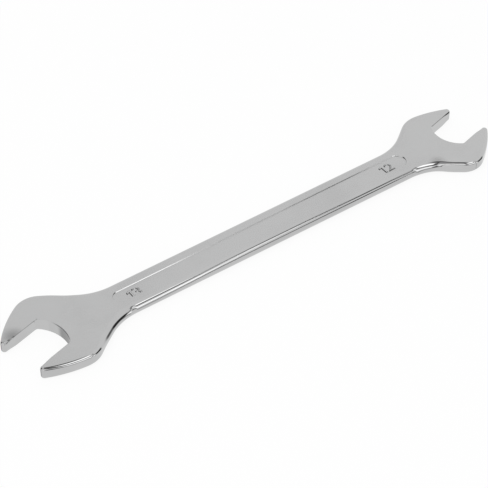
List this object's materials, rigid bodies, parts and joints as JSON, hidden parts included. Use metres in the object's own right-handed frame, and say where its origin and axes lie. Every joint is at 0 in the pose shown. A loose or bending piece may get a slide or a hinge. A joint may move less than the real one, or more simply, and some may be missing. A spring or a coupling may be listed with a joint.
{
  "type": "open end wrench",
  "caption": "Flat forged wrench with an open, angled jaw at each end, a sunk panel along each face of the shank and a rounded, brightly plated rim.",
  "frame": {"origin": "middle of the outline's box, on the lower face", "axes": "+X along the shank from the 13 mm head to the 12 mm head, +Y across it, +Z through the thickness, out of the upper face"},
  "size_m": [0.1684, 0.0296, 0.004],
  "materials": {
    "bright_plate": "bright chromium plate over polished steel"
  },
  "bodies": {
    "root": {"wrench_forging": "bright_plate"}
  },
  "joints": []
}
